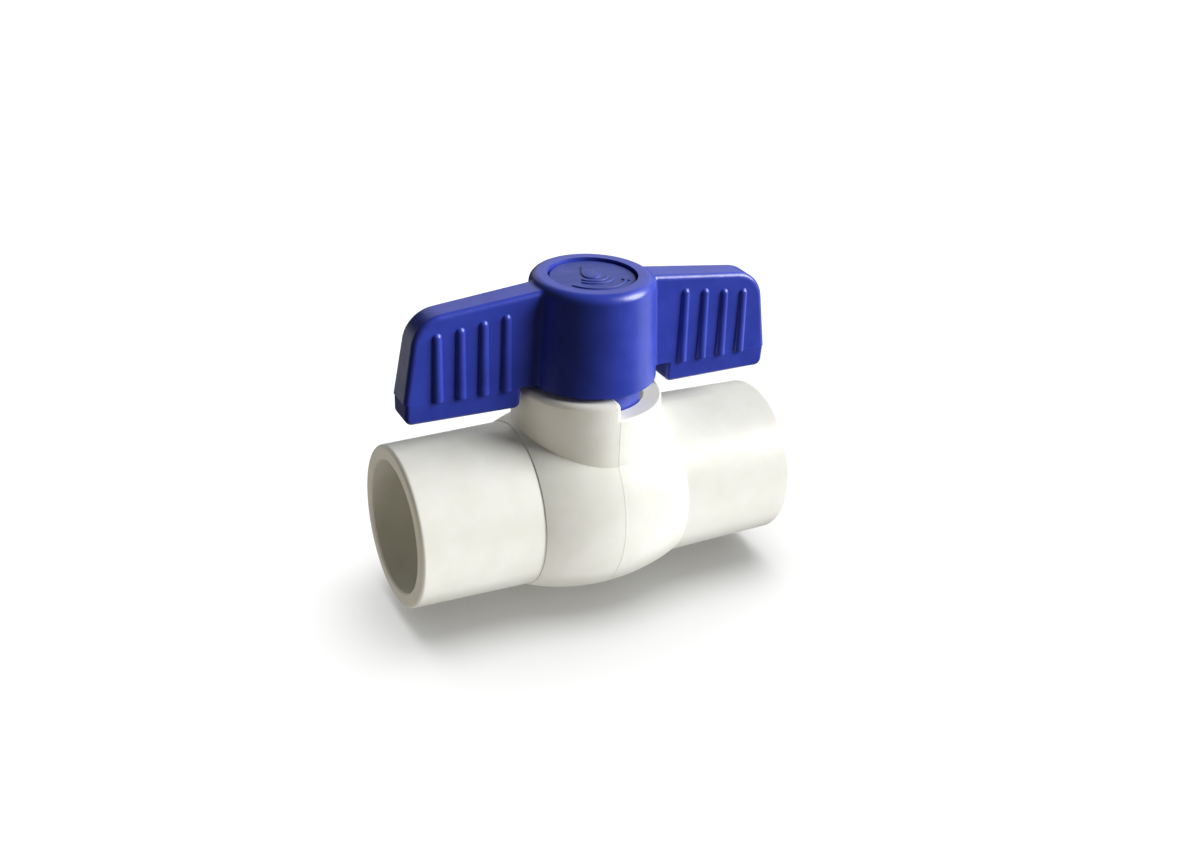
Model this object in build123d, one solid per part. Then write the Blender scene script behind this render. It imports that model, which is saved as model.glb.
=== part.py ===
from build123d import *
import os
from math import cos, radians, sin, tan

# Compact PVC ball valve with two plain solvent-weld sockets for 1-inch (DN 25) pipe, handle open.
# Millimetres. X runs along the pipe, Z up along the stem, and the origin is the ball's centre.

# Pipe line
LENGTH = 103.6                # over both socket mouths
SOCKET_BORE_R = 16.75         # takes pipe 33.4 mm across
SOCKET_DEPTH = 27.8
FLOW_R = 12.25
MOUTH_R = 20.5                # outside radius at the mouth
ROOT_R = 21.03                # outside radius at the housing, wider by the draft
MOUTH_ROUND = 1.0
MOUTH_CHAMFER = 0.4

# Housing
HOUSING_HALF = 19.87          # half its length along the pipe
BELLY_R = 25.13               # at the middle, under the mould line
MOULD_LINE_R = 25.17
MOULD_LINE = (0.4, 0.04)      # width, height
HOUSING_END_R = 21.3
CHAMBER_R = 18.5              # straight through, end to end
NECK_TOP_R = 18.8
NECK_DRAFT = 1.5              # degrees
WALL_TOP = 33.0               # the high part of the neck
WALL_ROUND = 1.5
LEDGE_TOP = 28.8              # the low part, where the stop lug travels
LEDGE_ROUND = 0.6
STOP_ROUND = 1.0              # on the outer edges of the two wall ends
STOP_START, STOP_END = -90.0, 44.0   # the low part, in degrees seen from above
STOP_WALL = 12.0              # each stop's own width, in degrees
CHANNEL_R = (10.8, 14.4)
CHANNEL_FLOOR = 24.5
BOSS_TOP = 31.0

# Ball, seats and their cushions
BALL_R = 17.4
SLOT_WIDTH = 5.2
SLOT_FLOOR = 13.5
SPIGOT_R = 18.45
SPIGOT_END = 11.5             # how close to the ball's centre the spigot reaches
SEAT_POCKET_R = 16.55
SEAT_POCKET_X = 15.5
SEAT_X = (9.6, 15.4)
SEAT_R = (12.4, 16.4)
SEAT_CONTACT_R = 14.0         # where the seat's cone would touch the ball
SEAT_GAP = 0.06               # between the cone and the ball
CUSHION_GROOVE_R = (13.4, 15.6)
CUSHION_GROOVE_X = 17.3
CUSHION_SECTION_R = 0.9
CUSHION_X = 16.35

# Stem
STEM_R = 6.0
STEM_BORE_R = 6.06
STEM_TOP = 50.8
FLANGE_R = 8.0
FLANGE_Z = (17.6, 20.0)
COUNTERBORE_R = 8.3
COUNTERBORE_TOP = 21.2
WASHER_R = (6.15, 8.1)
WASHER_Z = (20.05, 21.15)
TANG = (5.0, 14.0, 3.9)
GROOVE_R = 4.4
GROOVE_Z = (24.6, 28.1)       # centres of the two O-ring grooves
GROOVE_WIDTH = 2.2
STEM_RING_R = 5.19
STEM_RING_SECTION_R = 0.79
DRIVE_Z = 32.0                # the two flats start here
DRIVE_WIDTH = 9.0
PILOT_R = 2.0
PILOT_FLOOR = 38.0

# Handle hub
HUB_BOTTOM, HUB_TOP = 34.2, 59.97
HUB_BOTTOM_R, HUB_TOP_R = 17.12, 15.44
HUB_ROUND = 2.4
HUB_WALL = 2.3
HUB_CEILING = 54.4
RECESS_R, RECESS_FLOOR = 11.1, 56.9
WELL_R, WELL_FLOOR = 7.0, 53.5
DRIVE_BOSS_R = 9.0
DRIVE_CLEARANCE = 0.05
WEB_BOTTOM = 51.0
SCREW_HOLE_R = 2.2
HUB_RIB = (1.6, 42.0)         # thickness, lower edge
LUG_ARC = (-89.0, -47.0)
LUG_R = (11.5, 14.0)
LUG_BOTTOM = 25.5
LUG_COLLAR = 4.0              # height of the web that ties the lug to the hub's wall

# Handle wings
TIP_X = 50.05                 # at the parting line
PARTING_Z = 34.8
WING_BOTTOM = 29.2
WING_ROOT_X = 20.4            # inner end below the notch over the neck
WING_START = 10.0             # inside the hub
TOP_AT_HUB_AXIS = 60.34
TOP_SLOPE = 0.1045            # fall per mm outwards
TIP_TOP_X = 46.95             # where the leaning tip would meet the top edge
TIP_CORNER_R = 8.5
SKIRT_INSET = 0.35            # the skirt below the parting line stops short of the tip
SKIRT_CORNER_R = 1.8
SKIRT_ROOT_R = 1.6            # lower corner beside the neck
SKIRT_PROUD = 0.1
WING_HALF_AT_AXIS = 5.2       # half thickness on the parting line, carried in to the hub axis
WING_TAPER = 0.018            # thinner per mm outwards
PANEL_DRAFT = 2.0             # degrees
SKIRT_DRAFT = 3.0
WING_EDGE_ROUND = 1.3
SKIRT_EDGE_ROUND = 1.0
JUNCTION_ROUND = 1.5          # where the wings run into the hub
WING_WALL = 2.0
WING_WEB_X = (27.1, 38.9)
WING_WEB = 1.2

# Grip ribs, four on each face of each wing
GRIP_X = (24.4, 30.2, 36.0, 41.8)
GRIP_TOP = (54.4, 53.6, 52.7, 52.0)
GRIP_R = (1.55, 1.3)          # at the foot and at the top
GRIP_SUNK = 0.5               # how far the rib's centre lies inside the face

# Cap and screw
CAP_R = 10.75
CAP_TOP = 59.2
CAP_ROUND = 0.4
CAP_SKIRT_R = (5.6, 6.9)
CAP_SKIRT_BOTTOM = 54.9
CAP_CORE = (4.6, 57.7)        # hollow over the screw head: radius, ceiling
FLAT_WASHER_R = (2.2, 5.0)
FLAT_WASHER_THICK = 0.8
SCREW_R = 1.98
SCREW_LENGTH = 16.0
SCREW_HEAD_R = 4.0
SCREW_HEAD_HEIGHT = 2.4
SCREW_HEAD_ROUND = 1.0
SCREW_POINT = 1.2
CROSS = (4.2, 0.9, 1.4)       # recess length, width, depth

REACH = 80.0                  # longer than anything it cuts
OVERLAP = 0.2                 # how far joined shapes run into each other
FULL_TURN = 360.0


def turned(axis, *points):
    """The solid an outline makes about the X or Z axis; the points are (x, z)."""
    return revolve(Plane.XZ * make_face(Polyline(*points, close=True)), axis=axis)


def ring(radii, heights, start=0.0, end=FULL_TURN):
    """A flat ring about Z, or the part of it between two angles seen from above."""
    (inner, outer), (low, high) = radii, heights
    outline = Polyline((inner, low), (outer, low), (outer, high), (inner, high), close=True)
    whole = revolve(Plane.XZ * make_face(outline), axis=Axis.Z, revolution_arc=end - start)
    return Rot(0, 0, start) * whole


def torus(centre_r, section_r, plane):
    """An O-ring lying on a plane."""
    return plane * Torus(centre_r, section_r)


def double_d(radius, width, low, high):
    """A round bar with two flats, facing -Y and +Y."""
    bar = Pos(0, 0, (low + high) / 2) * Cylinder(radius, high - low)
    return bar & Pos(0, 0, (low + high) / 2) * Box(REACH, width, high - low)


def wall_corners(neck):
    """The outer upright corners where the stop walls end, beside the open part of the neck."""
    corners = []
    for angle in (STOP_START, STOP_END):
        along = Vector(cos(radians(angle)), sin(radians(angle)))
        corners += [
            edge
            for edge in neck.edges()
            if edge.center().Z > LEDGE_TOP
            and abs(edge.center().cross(along).Z) < 0.05
            and edge.center().dot(along) > CHANNEL_R[1]
        ]
    return corners


def make_neck():
    """The upright part round the stem, lower on one side where the stop lug travels."""
    base_r = NECK_TOP_R + WALL_TOP * tan(radians(NECK_DRAFT))
    walls = turned(Axis.Z, (0, 0), (base_r, 0), (NECK_TOP_R, WALL_TOP), (0, WALL_TOP))
    walls = fillet(walls.edges().group_by(Axis.Z)[-1], WALL_ROUND)
    walls -= ring((CHANNEL_R[0], REACH), (LEDGE_TOP - 2 * LEDGE_ROUND, REACH), STOP_START, STOP_END)
    walls = fillet(wall_corners(walls), STOP_ROUND)
    ledge_r = base_r - LEDGE_TOP * tan(radians(NECK_DRAFT))
    ledge = turned(Axis.Z, (0, 0), (base_r, 0), (ledge_r, LEDGE_TOP), (0, LEDGE_TOP))
    return walls + fillet(ledge.edges().group_by(Axis.Z)[-1], LEDGE_ROUND)


def make_mould_line():
    """The faint raised line where the mould's halves met, round the belly and up the neck."""
    half, proud = MOULD_LINE[0] / 2, MOULD_LINE[1]
    girdle = turned(Axis.X, (-half, 0), (-half, MOULD_LINE_R), (half, MOULD_LINE_R), (half, 0))
    low_r = NECK_TOP_R + WALL_TOP * tan(radians(NECK_DRAFT)) + proud
    top = LEDGE_TOP - LEDGE_ROUND
    top_r = low_r - top * tan(radians(NECK_DRAFT))
    side = make_face(Polyline((-low_r, 0), (low_r, 0), (top_r, top), (-top_r, top), close=True))
    return girdle + extrude(Plane.YZ * side, half, both=True)


def make_housing():
    """One moulding, open at both ends, with the neck that carries the stem and the stops."""
    outside = ThreePointArc((-HOUSING_HALF, HOUSING_END_R), (0, BELLY_R), (HOUSING_HALF, HOUSING_END_R))
    inside = Polyline(
        (HOUSING_HALF, HOUSING_END_R),
        (HOUSING_HALF, 0),
        (-HOUSING_HALF, 0),
        (-HOUSING_HALF, HOUSING_END_R),
    )
    belly = revolve(Plane.XZ * make_face(outside + inside), axis=Axis.X)
    body = belly + make_mould_line() + make_neck()
    body -= ring(CHANNEL_R, (CHANNEL_FLOOR, REACH), STOP_START, STOP_END)
    far_start, far_end = STOP_END + STOP_WALL, STOP_START + FULL_TURN - STOP_WALL
    body -= ring(CHANNEL_R, (CHANNEL_FLOOR, REACH), far_start, far_end)
    body -= ring((0, CHANNEL_R[0]), (BOSS_TOP, REACH))
    body -= Rot(0, 90, 0) * Cylinder(CHAMBER_R, REACH)
    body -= Cylinder(STEM_BORE_R, REACH, align=(Align.CENTER, Align.CENTER, Align.MIN))
    return body - ring((0, COUNTERBORE_R), (0, COUNTERBORE_TOP))


def make_end_socket():
    """The right-hand end: the pipe's socket outside, the seat's pocket on the spigot inside."""
    mouth = LENGTH / 2
    stop = mouth - SOCKET_DEPTH
    body = turned(
        Axis.X,
        (SPIGOT_END, SEAT_POCKET_R),
        (SPIGOT_END, SPIGOT_R),
        (HOUSING_HALF, SPIGOT_R),
        (HOUSING_HALF, ROOT_R),
        (mouth, MOUTH_R),
        (mouth, SOCKET_BORE_R),
        (stop, SOCKET_BORE_R),
        (stop, FLOW_R),
        (SEAT_POCKET_X, FLOW_R),
        (SEAT_POCKET_X, CUSHION_GROOVE_R[0]),
        (CUSHION_GROOVE_X, CUSHION_GROOVE_R[0]),
        (CUSHION_GROOVE_X, CUSHION_GROOVE_R[1]),
        (SEAT_POCKET_X, CUSHION_GROOVE_R[1]),
        (SEAT_POCKET_X, SEAT_POCKET_R),
    )
    outer_rim = body.faces().sort_by(Axis.X)[-1].edges().sort_by(SortBy.RADIUS)[-1]
    body = fillet(outer_rim, MOUTH_ROUND)
    inner_rim = body.faces().sort_by(Axis.X)[-1].edges().sort_by(SortBy.RADIUS)[0]
    return chamfer(inner_rim, MOUTH_CHAMFER)


def make_seat():
    """The right-hand PTFE ring, with a cone that lies along the ball."""
    contact_x = (BALL_R**2 - SEAT_CONTACT_R**2) ** 0.5
    slope = SEAT_CONTACT_R / contact_x
    shift = SEAT_GAP * BALL_R / contact_x
    cone_x = contact_x + shift + (SEAT_CONTACT_R - SEAT_R[0]) * slope
    cone_r = SEAT_CONTACT_R + (contact_x + shift - SEAT_X[0]) / slope
    return turned(
        Axis.X,
        (SEAT_X[1], SEAT_R[0]),
        (cone_x, SEAT_R[0]),
        (SEAT_X[0], cone_r),
        (SEAT_X[0], SEAT_R[1]),
        (SEAT_X[1], SEAT_R[1]),
    )


def make_seat_o_ring():
    """The cushion ring behind the right-hand seat."""
    return torus(sum(CUSHION_GROOVE_R) / 2, CUSHION_SECTION_R, Pos(CUSHION_X, 0, 0) * Rot(0, 90, 0))


def make_ball():
    """Full-bore ball; the slot for the stem's tang runs across the flow."""
    ball = Sphere(BALL_R) - Rot(0, 90, 0) * Cylinder(FLOW_R, REACH)
    return ball - Pos(0, 0, SLOT_FLOOR + REACH / 2) * Box(SLOT_WIDTH, REACH, REACH)


def make_stem():
    """Blow-out-proof stem, put in from inside the chamber."""
    bar = ring((0, FLANGE_R), FLANGE_Z) + ring((0, STEM_R), (FLANGE_Z[0], DRIVE_Z))
    bar += double_d(STEM_R, DRIVE_WIDTH, DRIVE_Z, STEM_TOP)
    for centre in GROOVE_Z:
        heights = (centre - GROOVE_WIDTH / 2, centre + GROOVE_WIDTH / 2)
        bar -= ring((GROOVE_R, REACH), heights)
    bar += Pos(0, 0, FLANGE_Z[0] + (OVERLAP - TANG[2]) / 2) * Box(TANG[0], TANG[1], TANG[2] + OVERLAP)
    return bar - ring((0, PILOT_R), (PILOT_FLOOR, REACH))


def wing_half(x, z):
    """Half the panel's thickness at a point above the parting line."""
    return WING_HALF_AT_AXIS - WING_TAPER * x - (z - PARTING_Z) * tan(radians(PANEL_DRAFT))


def slab(low, high, half_low, half_high, inner_x, outer_x):
    """A tapering slab between two heights; each half thickness is a function of x."""
    levels = []
    for height, half in ((low, half_low), (high, half_high)):
        corners = [
            (inner_x, -half(inner_x)),
            (outer_x, -half(outer_x)),
            (outer_x, half(outer_x)),
            (inner_x, half(inner_x)),
        ]
        levels.append(Pos(0, 0, height) * make_face(Polyline(*corners, close=True)))
    return loft(levels, ruled=True)


def wing_top(x):
    """Height of the wing's top edge."""
    return TOP_AT_HUB_AXIS - TOP_SLOPE * x


def panel_outline(inset, inner_x, low):
    """Side view of the panel above the parting line, drawn in by an even inset."""
    tip_low = TIP_X - inset
    tip_high = TIP_TOP_X - inset
    outline = make_face(
        Polyline(
            (inner_x, low),
            (tip_low, low),
            (tip_high, wing_top(tip_high) - inset),
            (inner_x, wing_top(inner_x) - inset),
            close=True,
        )
    )
    corner = outline.vertices().sort_by_distance((tip_high, wing_top(tip_high) - inset))[0]
    return fillet(corner, TIP_CORNER_R - inset)


def make_panel():
    """The wing above its parting line, with its rounded edges."""
    outline = extrude(Plane.XZ * panel_outline(0, WING_START, PARTING_Z), REACH / 2, both=True)
    low, high = PARTING_Z - 1, TOP_AT_HUB_AXIS + 1
    body = outline & slab(
        low, high, lambda x: wing_half(x, low), lambda x: wing_half(x, high), WING_START - 1, TIP_X + 1
    )
    upper = [
        edge
        for edge in body.edges()
        if edge.center().Z > PARTING_Z + 0.5 and edge.center().X > WING_START + 1
        and abs(edge.center().Y) > 1
    ]
    return fillet(upper, WING_EDGE_ROUND)


def make_skirt():
    """The wing below its parting line, with the opposite draft and a clear notch over the neck."""
    inset_x = TIP_X - SKIRT_INSET
    flat = make_face(
        Polyline(
            (WING_ROOT_X, WING_BOTTOM),
            (inset_x, WING_BOTTOM),
            (inset_x, PARTING_Z),
            (WING_ROOT_X, PARTING_Z),
            close=True,
        )
    )
    low_tip = flat.vertices().sort_by_distance((inset_x, WING_BOTTOM))[0]
    flat = fillet(low_tip, SKIRT_CORNER_R)
    low_root = flat.vertices().sort_by_distance((WING_ROOT_X, WING_BOTTOM))[0]
    flat = fillet(low_root, SKIRT_ROOT_R)
    outline = extrude(Plane.XZ * flat, REACH / 2, both=True)
    drop = (PARTING_Z - WING_BOTTOM) * tan(radians(SKIRT_DRAFT))
    sides = slab(
        WING_BOTTOM,
        PARTING_Z,
        lambda x: wing_half(x, PARTING_Z) + SKIRT_PROUD - drop,
        lambda x: wing_half(x, PARTING_Z) + SKIRT_PROUD,
        WING_ROOT_X - 1,
        TIP_X + 1,
    )
    body = outline & sides
    lower = [
        edge
        for edge in body.edges()
        if edge.center().Z < PARTING_Z - 0.5
        and edge.center().X > WING_ROOT_X + 1 and abs(edge.center().Y) > 2
    ]
    return fillet(lower, SKIRT_EDGE_ROUND)


def make_wing_hollow():
    """The core drawn out of a wing from below, crossed by two webs."""
    inner_x = WING_ROOT_X + WING_WALL
    flat = panel_outline(WING_WALL, inner_x, WING_BOTTOM - 1)
    outline = extrude(Plane.XZ * flat, REACH / 2, both=True)
    top = TOP_AT_HUB_AXIS
    core = outline & slab(
        WING_BOTTOM - 1,
        top,
        lambda x: wing_half(x, PARTING_Z) - WING_WALL,
        lambda x: wing_half(x, top) - WING_WALL,
        inner_x - 1,
        TIP_X,
    )
    for x in WING_WEB_X:
        core -= Pos(x, 0, PARTING_Z + REACH / 2) * Box(WING_WEB, REACH, REACH)
    return core


def make_grip_ribs():
    """Rounded upright ribs on both faces of the right-hand wing."""
    ribs = []
    for x, top in zip(GRIP_X, GRIP_TOP):
        crown = top - GRIP_R[1]
        for side in (-1, 1):
            foot = Vector(x, side * (wing_half(x, PARTING_Z) - GRIP_SUNK), PARTING_Z - OVERLAP / 2)
            head = Vector(x, side * (wing_half(x, crown) - GRIP_SUNK), crown)
            rise = head - foot
            middle = Plane(origin=(foot + head) / 2, z_dir=rise)
            ribs.append(middle * Cone(GRIP_R[0], GRIP_R[1], rise.length))
            ribs.append(Pos(*head) * Sphere(GRIP_R[1]))
    return ribs


def make_handle():
    """Butterfly handle: hub with stop lug and drive socket, and two hollow ribbed wings."""
    hub = turned(
        Axis.Z,
        (0, HUB_BOTTOM),
        (HUB_BOTTOM_R, HUB_BOTTOM),
        (HUB_TOP_R, HUB_TOP),
        (0, HUB_TOP),
    )
    hub = fillet(hub.edges().group_by(Axis.Z)[-1], HUB_ROUND)
    wing = make_panel() + make_skirt()
    for rib in make_grip_ribs():
        wing += rib
    wing -= make_wing_hollow()
    body = hub + wing + Rot(0, 0, 180) * wing
    junctions = [
        edge
        for edge in body.edges()
        if edge.length > 10 and WING_START < abs(edge.center().X) < HUB_BOTTOM_R
        and 3 < abs(edge.center().Y) < 6
    ]
    body = fillet(junctions, JUNCTION_ROUND)
    core_low_r = HUB_BOTTOM_R - HUB_WALL
    core_high_r = HUB_TOP_R - HUB_WALL
    core = turned(
        Axis.Z,
        (DRIVE_BOSS_R, HUB_BOTTOM - 1),
        (core_low_r, HUB_BOTTOM - 1),
        (core_high_r, HUB_CEILING),
        (DRIVE_BOSS_R, HUB_CEILING),
    )
    for angle in (0, 90):
        rib = Box(2 * core_low_r, HUB_RIB[0], REACH, align=(Align.CENTER, Align.CENTER, Align.MIN))
        core -= Pos(0, 0, HUB_RIB[1]) * Rot(0, 0, angle) * rib
    body -= core
    body += ring(LUG_R, (LUG_BOTTOM, HUB_CEILING + OVERLAP), *LUG_ARC)
    body += ring((LUG_R[0], core_low_r + OVERLAP), (HUB_BOTTOM, HUB_BOTTOM + LUG_COLLAR), *LUG_ARC)
    body -= ring((0, RECESS_R), (RECESS_FLOOR, REACH))
    body -= ring((0, WELL_R), (WELL_FLOOR, REACH))
    body -= ring((0, SCREW_HOLE_R), (HUB_BOTTOM, REACH))
    socket_r = STEM_R + DRIVE_CLEARANCE
    socket_width = DRIVE_WIDTH + 2 * DRIVE_CLEARANCE
    return body - double_d(socket_r, socket_width, HUB_BOTTOM - 1, WEB_BOTTOM)


def make_handle_cap():
    """Round snap-in cover over the screw."""
    cap = ring((0, CAP_R), (RECESS_FLOOR, CAP_TOP))
    cap = fillet(cap.edges().group_by(Axis.Z)[-1], CAP_ROUND)
    cap += ring(CAP_SKIRT_R, (CAP_SKIRT_BOTTOM, RECESS_FLOOR + OVERLAP))
    return cap - ring((0, CAP_CORE[0]), (RECESS_FLOOR - 1, CAP_CORE[1]))


def make_handle_screw():
    """Pan-head screw with a cross recess, driven into the stem."""
    seat = WELL_FLOOR + FLAT_WASHER_THICK
    top = seat + SCREW_HEAD_HEIGHT
    head = ring((0, SCREW_HEAD_R), (seat, top))
    head = fillet(head.edges().group_by(Axis.Z)[-1], SCREW_HEAD_ROUND)
    point = seat - SCREW_LENGTH
    shank = turned(
        Axis.Z,
        (0, point),
        (SCREW_R, point + SCREW_POINT),
        (SCREW_R, seat + OVERLAP),
        (0, seat + OVERLAP),
    )
    screw = head + shank
    for angle in (0, 90):
        screw -= Pos(0, 0, top) * Rot(0, 0, angle) * Box(CROSS[0], CROSS[1], 2 * CROSS[2])
    return screw


right_socket = make_end_socket()
right_seat = make_seat()
right_o_ring = make_seat_o_ring()
turn_round = Rot(0, 0, 180)
stem_rings = [
    torus(STEM_RING_R, STEM_RING_SECTION_R, Pos(0, 0, centre)) for centre in GROOVE_Z
]

parts = {
    "housing": make_housing(),
    "end_socket_left": turn_round * right_socket,
    "end_socket_right": right_socket,
    "ball": make_ball(),
    "seat_left": turn_round * right_seat,
    "seat_right": right_seat,
    "seat_o_ring_left": turn_round * right_o_ring,
    "seat_o_ring_right": right_o_ring,
    "stem": make_stem(),
    "stem_o_ring_lower": stem_rings[0],
    "stem_o_ring_upper": stem_rings[1],
    "thrust_washer": ring(WASHER_R, WASHER_Z),
    "handle": make_handle(),
    "handle_cap": make_handle_cap(),
    "handle_screw": make_handle_screw(),
    "screw_washer": ring(FLAT_WASHER_R, (WELL_FLOOR, WELL_FLOOR + FLAT_WASHER_THICK)),
}

os.makedirs("parts", exist_ok=True)
for name, shape in parts.items():
    export_step(shape, f"parts/{name}.step")
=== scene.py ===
import math

import bmesh
import bpy
from mathutils import Matrix, Vector


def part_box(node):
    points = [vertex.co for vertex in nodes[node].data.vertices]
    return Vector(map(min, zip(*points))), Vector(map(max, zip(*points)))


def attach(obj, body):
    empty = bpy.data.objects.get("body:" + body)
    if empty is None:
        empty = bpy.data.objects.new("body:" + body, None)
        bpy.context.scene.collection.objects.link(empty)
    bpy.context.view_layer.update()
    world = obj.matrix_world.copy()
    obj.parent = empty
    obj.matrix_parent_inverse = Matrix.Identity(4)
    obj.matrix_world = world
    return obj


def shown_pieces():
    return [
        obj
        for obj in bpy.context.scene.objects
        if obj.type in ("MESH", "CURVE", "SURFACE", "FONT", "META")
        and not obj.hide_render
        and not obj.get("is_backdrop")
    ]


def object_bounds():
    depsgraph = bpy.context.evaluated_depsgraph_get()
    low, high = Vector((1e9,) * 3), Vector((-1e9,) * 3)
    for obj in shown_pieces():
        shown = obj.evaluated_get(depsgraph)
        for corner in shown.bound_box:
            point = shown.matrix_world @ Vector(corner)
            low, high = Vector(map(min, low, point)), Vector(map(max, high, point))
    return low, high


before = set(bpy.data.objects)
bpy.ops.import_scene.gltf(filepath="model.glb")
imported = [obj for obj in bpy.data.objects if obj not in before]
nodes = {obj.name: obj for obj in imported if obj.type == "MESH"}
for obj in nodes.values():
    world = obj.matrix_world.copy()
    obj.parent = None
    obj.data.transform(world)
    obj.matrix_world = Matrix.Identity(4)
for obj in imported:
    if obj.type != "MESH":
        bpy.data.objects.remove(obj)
bpy.context.view_layer.update()
cad_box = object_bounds()

MM = 0.001


# Materials

WHITE = (1.0, 1.0, 1.0, 1.0)


def srgb(r, g, b):
    """Scene-linear colour of an 8-bit screen colour."""
    def linear(c):
        c /= 255
        return c / 12.92 if c <= 0.04045 else ((c + 0.055) / 1.055) ** 2.4
    return (linear(r), linear(g), linear(b), 1.0)


def noise(tree, coords, scale, detail, roughness=0.5):
    """3-D noise over the object's own metres."""
    node = tree.nodes.new("ShaderNodeTexNoise")
    node.inputs["Scale"].default_value = scale
    node.inputs["Detail"].default_value = detail
    node.inputs["Roughness"].default_value = roughness
    tree.links.new(coords, node.inputs["Vector"])
    return node.outputs["Fac"]


def ramp(tree, factor, low, high, start=0.35, end=0.65):
    """Noise spread between two colours."""
    node = tree.nodes.new("ShaderNodeValToRGB")
    node.color_ramp.elements[0].position = start
    node.color_ramp.elements[0].color = low
    node.color_ramp.elements[1].position = end
    node.color_ramp.elements[1].color = high
    tree.links.new(factor, node.inputs["Fac"])
    return node.outputs["Color"]


def spread(tree, factor, low, high):
    """Noise spread between two numbers."""
    node = tree.nodes.new("ShaderNodeMapRange")
    node.inputs["From Min"].default_value = 0.3
    node.inputs["From Max"].default_value = 0.7
    node.inputs["To Min"].default_value = low
    node.inputs["To Max"].default_value = high
    tree.links.new(factor, node.inputs["Value"])
    return node.outputs["Result"]


def bump(tree, height, strength, distance, under=None):
    """One layer of relief, over another if there is one."""
    node = tree.nodes.new("ShaderNodeBump")
    node.inputs["Strength"].default_value = strength
    node.inputs["Distance"].default_value = distance
    tree.links.new(height, node.inputs["Height"])
    if under is not None:
        tree.links.new(under, node.inputs["Normal"])
    return node.outputs["Normal"]


def surface(name, low, high, rough, grain, swell, **sockets):
    """A moulded or turned surface: two close shades, uneven gloss, a fine grain over a long swell.

    rough is (least, most); grain and swell are (noise scale, strength, height in mm).
    """
    made = bpy.data.materials.new(name)
    made.use_nodes = True
    tree = made.node_tree
    shader = tree.nodes["Principled BSDF"]
    coords = tree.nodes.new("ShaderNodeTexCoord").outputs["Object"]
    shade = noise(tree, coords, 140.0, 4.0)
    tree.links.new(ramp(tree, shade, low, high), shader.inputs["Base Color"])
    gloss = noise(tree, coords, 320.0, 5.0, 0.6)
    tree.links.new(spread(tree, gloss, *rough), shader.inputs["Roughness"])
    long_wave = bump(tree, noise(tree, coords, swell[0], 2.0), swell[1], swell[2] * MM)
    fine = bump(tree, noise(tree, coords, grain[0], 3.0), grain[1], grain[2] * MM, long_wave)
    tree.links.new(fine, shader.inputs["Normal"])
    for socket, value in sockets.items():
        shader.inputs[socket.replace("_", " ")].default_value = value
    return made


white_pvc = surface(
    "white_pvc", srgb(239, 239, 229), srgb(244, 244, 237), (0.30, 0.40),
    grain=(5200.0, 0.10, 0.012), swell=(70.0, 0.25, 0.06), IOR=1.53,
    Subsurface_Weight=0.12, Subsurface_Radius=(1.0, 0.85, 0.6), Subsurface_Scale=0.0015,
)
ball_plastic = surface(
    "ball_plastic", srgb(236, 236, 231), srgb(244, 244, 240), (0.12, 0.20),
    grain=(6000.0, 0.05, 0.004), swell=(60.0, 0.1, 0.02), IOR=1.53,
)
stem_plastic = surface(
    "stem_plastic", srgb(228, 228, 220), srgb(238, 238, 232), (0.30, 0.42),
    grain=(4200.0, 0.15, 0.012), swell=(90.0, 0.2, 0.04), IOR=1.53,
)
seat_ptfe = surface(
    "seat_ptfe", srgb(238, 238, 236), srgb(248, 248, 247), (0.38, 0.52),
    grain=(3600.0, 0.2, 0.014), swell=(120.0, 0.2, 0.03), IOR=1.35,
    Subsurface_Weight=0.2, Subsurface_Radius=(1.0, 1.0, 1.0), Subsurface_Scale=0.001,
)
seal_rubber = surface(
    "seal_rubber", srgb(20, 20, 21), srgb(32, 32, 33), (0.55, 0.70),
    grain=(4800.0, 0.3, 0.02), swell=(150.0, 0.2, 0.03),
)
blue_plastic = surface(
    "blue_plastic", srgb(44, 59, 160), srgb(51, 67, 173), (0.28, 0.36),
    grain=(4600.0, 0.22, 0.014), swell=(85.0, 0.3, 0.05), IOR=1.52,
)
blue_cap_plastic = surface(
    "blue_cap_plastic", srgb(46, 60, 140), srgb(55, 69, 152), (0.42, 0.55),
    grain=(3300.0, 0.45, 0.02), swell=(85.0, 0.25, 0.04), IOR=1.52,
)
screw_steel = surface(
    "screw_steel", srgb(176, 177, 180), srgb(198, 199, 201), (0.22, 0.34),
    grain=(3800.0, 0.2, 0.006), swell=(200.0, 0.1, 0.01), Metallic=1.0,
)

WHITE_SHELLS = ["housing", "end_socket_left", "end_socket_right"]
PALE_INSIDES = ["ball", "stem", "seat_left", "seat_right", "thrust_washer"]
FINISHES = (
    (white_pvc, WHITE_SHELLS),
    (ball_plastic, ["ball"]),
    (stem_plastic, ["stem"]),
    (seat_ptfe, ["seat_left", "seat_right", "thrust_washer"]),
    (seal_rubber, ["seat_o_ring_left", "seat_o_ring_right", "stem_o_ring_lower", "stem_o_ring_upper"]),
    (blue_plastic, ["handle"]),
    (blue_cap_plastic, ["handle_cap"]),
    (screw_steel, ["handle_screw", "screw_washer"]),
)
for finish, members in FINISHES:
    for member in members:
        slots = nodes[member].data.materials
        slots.clear()
        slots.append(finish)


# Raised symbol on the cap: a drop over two ripples, and the way the handle turns

SHARP_ANGLE = 40              # degrees; edges over this stay sharp
ARC_STEPS = 40
DROP_STEPS = 48


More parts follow.
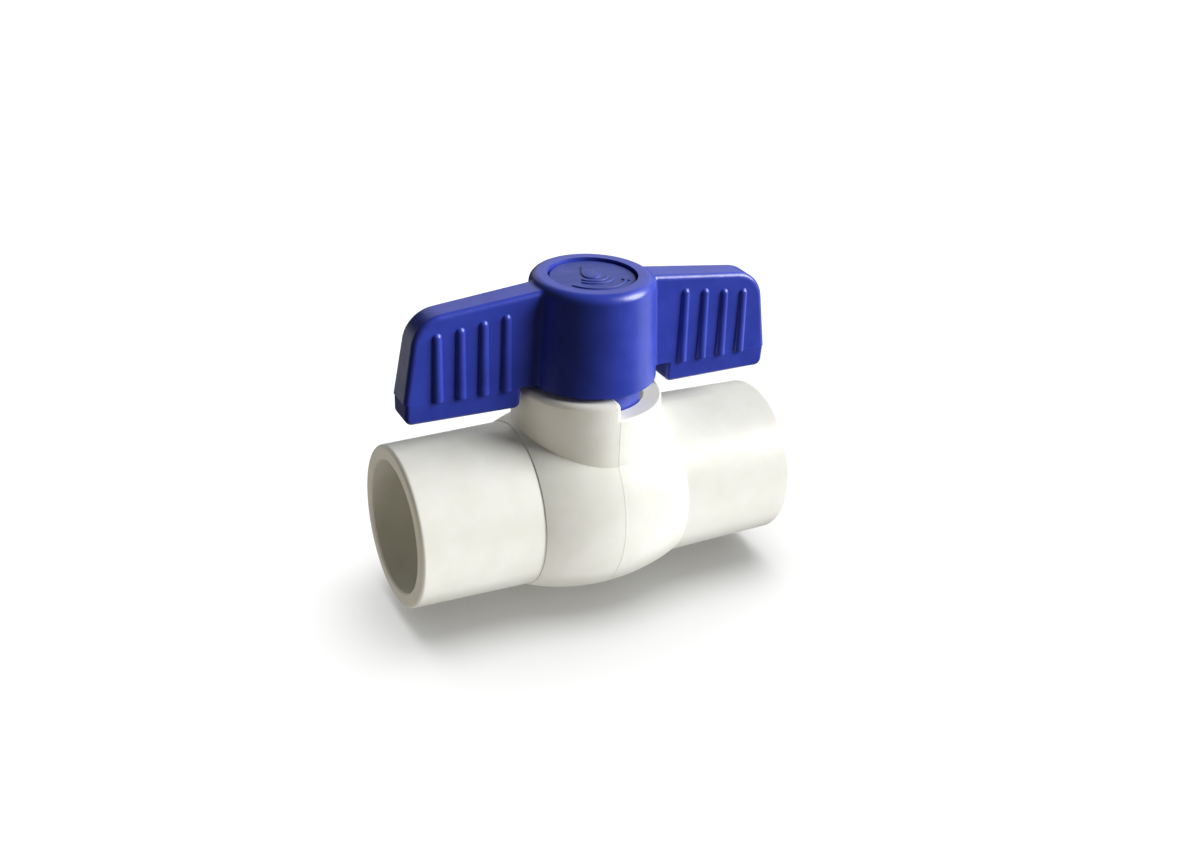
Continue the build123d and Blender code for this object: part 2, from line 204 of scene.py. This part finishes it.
def raised(name, outline, base, height, rounding):
    """A closed low relief from a flat outline, in mm, with its upper edge rounded."""
    bm = bmesh.new()
    rim = [bm.verts.new((x * MM, y * MM, base * MM)) for x, y in outline]
    face = bm.faces.new(rim)
    top = bmesh.ops.extrude_face_region(bm, geom=[face])["geom"]
    lifted = [v for v in top if isinstance(v, bmesh.types.BMVert)]
    bmesh.ops.translate(bm, verts=lifted, vec=(0, 0, height * MM))
    bmesh.ops.recalc_face_normals(bm, faces=bm.faces)
    upper = [e for e in bm.edges if all(v in lifted for v in e.verts)]
    bmesh.ops.bevel(
        bm,
        geom=upper,
        offset=rounding * MM,
        offset_type="OFFSET",
        segments=3,
        profile=0.5,
        affect="EDGES",
    )
    mesh = bpy.data.meshes.new(name)
    bm.to_mesh(mesh)
    bm.free()
    mesh.shade_smooth()
    mesh.set_sharp_from_angle(angle=math.radians(SHARP_ANGLE))
    made = bpy.data.objects.new(name, mesh)
    bpy.context.scene.collection.objects.link(made)
    return made


def polar(radius, degrees):
    """A point on the cap, in mm."""
    return radius * math.cos(math.radians(degrees)), radius * math.sin(math.radians(degrees))


def arc(radius, width, start, end, middle=(0.0, 0.0)):
    """Outline of a stroke along an arc."""
    steps = [start + (end - start) * i / ARC_STEPS for i in range(ARC_STEPS + 1)]
    inner = [polar(radius - width / 2, a) for a in steps]
    outer = [polar(radius + width / 2, a) for a in reversed(steps)]
    return [(x + middle[0], y + middle[1]) for x, y in inner + outer]


def arrow_arc(radius, width, start, end, head):
    """The same stroke about the cap's centre, with an arrowhead at its far end."""
    turning_point = ARC_STEPS + 1
    stroke = arc(radius, width, start, end)
    direction = math.copysign(1, end - start)
    point = [
        polar(radius - head / 2, end),
        polar(radius, end + direction * math.degrees(head / radius)),
        polar(radius + head / 2, end),
    ]
    return stroke[:turning_point] + point + stroke[turning_point:]


def drop(x, y, size):
    """Outline of a water drop with its point away from the handle's front."""
    made = []
    for i in range(DROP_STEPS):
        t = 2 * math.pi * i / DROP_STEPS
        made.append((x + size * math.sin(t) * math.sin(t / 2) ** 1.5, y + size * 1.25 * math.cos(t)))
    return made


cap_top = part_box("handle_cap")[1].z / MM
RELIEF = 0.28                 # mm above the cap
SUNK = 0.06                   # mm into it
RELIEF_ROUND = 0.12
DROP_FOOT = (0.0, 0.8)
symbol = {
    "turn_arrow": arrow_arc(8.2, 0.7, -152, -38, 2.1),
    "drop": drop(0.0, 2.4, 3.2),
    "ripple_inner": arc(4.0, 0.7, -150, -30, DROP_FOOT),
    "ripple_outer": arc(5.6, 0.7, -140, -40, DROP_FOOT),
}
for piece, outline in symbol.items():
    mark = raised(piece, outline, cap_top - SUNK, RELIEF + SUNK, RELIEF_ROUND)
    mark.data.materials.append(blue_cap_plastic)
    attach(mark, "handle_body")


# Floor

FLOOR_HALF_SIDE = 4.0
FLOOR_GAP = 0.1 * MM

bm = bmesh.new()
bmesh.ops.create_grid(bm, x_segments=4, y_segments=4, size=FLOOR_HALF_SIDE)
bmesh.ops.translate(bm, verts=bm.verts, vec=(0, 0, cad_box[0].z - FLOOR_GAP))
floor_mesh = bpy.data.meshes.new("floor")
bm.to_mesh(floor_mesh)
bm.free()
floor = bpy.data.objects.new("floor", floor_mesh)
bpy.context.scene.collection.objects.link(floor)
floor_finish = bpy.data.materials.new("floor_finish")
floor_finish.use_nodes = True
floor_shader = floor_finish.node_tree.nodes["Principled BSDF"]
floor_shader.inputs["Base Color"].default_value = srgb(190, 190, 190)
floor_shader.inputs["Roughness"].default_value = 0.9
floor_shader.inputs["Specular IOR Level"].default_value = 0.1
floor_mesh.materials.append(floor_finish)
floor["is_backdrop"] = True
floor.visible_diffuse = False
floor.visible_glossy = False
floor.visible_shadow = False


# Light

def group(name, members):
    """A collection for light linking: only its members take the light."""
    made = bpy.data.collections.new(name)
    for member in members:
        made.objects.link(member)
    return made


def place_light(name, lamp, place, takers, colour):
    """Put a lamp in the scene, aimed at the origin; with no takers it lights everything."""
    lamp.color = colour
    made = bpy.data.objects.new(name, lamp)
    bpy.context.scene.collection.objects.link(made)
    made.location = place
    made.rotation_euler = (-Vector(place)).to_track_quat("-Z", "Y").to_euler()
    if takers is not None:
        made.light_linking.receiver_collection = takers
    return made


def softbox(name, place, size, radiance, takers=None, colour=(1, 1, 1)):
    """A flat panel of even brightness."""
    lamp = bpy.data.lights.new(name, "AREA")
    lamp.shape = "RECTANGLE"
    lamp.size, lamp.size_y = size
    lamp.energy = radiance * math.pi * size[0] * size[1]
    return place_light(name, lamp, place, takers, colour)


def sun(name, place, level, spread_degrees, takers=None, colour=(1, 1, 1)):
    """Even light from one side; level 1 turns a white face that looks straight at it just white."""
    lamp = bpy.data.lights.new(name, "SUN")
    lamp.energy = level * math.pi
    lamp.angle = math.radians(spread_degrees)
    return place_light(name, lamp, place, takers, colour)


WARM = (1.0, 0.87, 0.64)
pale = [nodes[name] for name in WHITE_SHELLS + PALE_INSIDES]
shells = group("takes_body_light", pale)
handle_parts = group("takes_handle_light", [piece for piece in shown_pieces() if piece not in pale])
ground = group("takes_floor_light", [floor])

KEY = (0.79, -0.41, 0.46)
sun("key_body", KEY, 1.42, 34, shells)
sun("key_handle", KEY, 1.75, 40, handle_parts)
softbox("back_panel", (0.44, 0.80, 0.48), (1.3, 0.7), 0.7)
softbox("top_right", (0.66, -0.20, 0.70), (0.85, 0.50), 2.4, handle_parts)
softbox("right_low", (0.92, -0.14, -0.32), (0.65, 0.60), 1.0, handle_parts)
softbox("back_left", (-0.60, 0.80, -0.10), (0.8, 0.5), 0.6, handle_parts)
sun("fill_low", (0.30, -0.50, -0.80), 0.56, 70, shells)
sun("fill_left", (-1.0, -0.20, -0.30), 0.22, 80, shells, WARM)
sun("fill_back", (-0.05, 0.98, -0.05), 0.20, 90, shells)
sun("floor_light", (0.08, 0.08, 1.0), 1.04, 50, ground)
sun("floor_wide", (0.0, 0.0, 1.0), 0.98, 130, ground)

world = bpy.data.worlds.new("studio")
world.use_nodes = True
sky = world.node_tree
dim_fill = sky.nodes["Background"]
dim_fill.inputs["Color"].default_value = WHITE
dim_fill.inputs["Strength"].default_value = 0.07
backdrop = sky.nodes.new("ShaderNodeBackground")
backdrop.inputs["Color"].default_value = WHITE
backdrop.inputs["Strength"].default_value = 1.0
path = sky.nodes.new("ShaderNodeLightPath")
choice = sky.nodes.new("ShaderNodeMixShader")
sky.links.new(path.outputs["Is Camera Ray"], choice.inputs[0])
sky.links.new(dim_fill.outputs[0], choice.inputs[1])
sky.links.new(backdrop.outputs[0], choice.inputs[2])
sky.links.new(choice.outputs[0], sky.nodes["World Output"].inputs["Surface"])
bpy.context.scene.world = world
bpy.context.scene.view_settings.view_transform = "Standard"


# Camera, seen from the left and above

camera_data = bpy.data.cameras.new("camera")
camera_data.sensor_width = 36.0
camera_data.sensor_fit = "HORIZONTAL"
camera_data.lens = 42.462
camera_data.shift_x = -0.00673
camera_data.shift_y = -0.02348
camera_data.clip_start = 0.01
camera_data.clip_end = 20.0
camera = bpy.data.objects.new("camera", camera_data)
bpy.context.scene.collection.objects.link(camera)
azimuth, elevation, roll = (math.radians(angle) for angle in (-28.550, 26.393, 3.325))
aim_point = Vector((0.004069, 0.0, 0.023686))
distance = 0.357149
back = Vector((
    math.sin(azimuth) * math.cos(elevation),
    -math.cos(azimuth) * math.cos(elevation),
    math.sin(elevation),
))
turn = back.to_track_quat("Z", "Y").to_matrix() @ Matrix.Rotation(roll, 3, "Z")
camera.matrix_world = Matrix.Translation(aim_point + back * distance) @ turn.to_4x4()
bpy.context.scene.camera = camera

bpy.context.view_layer.update()
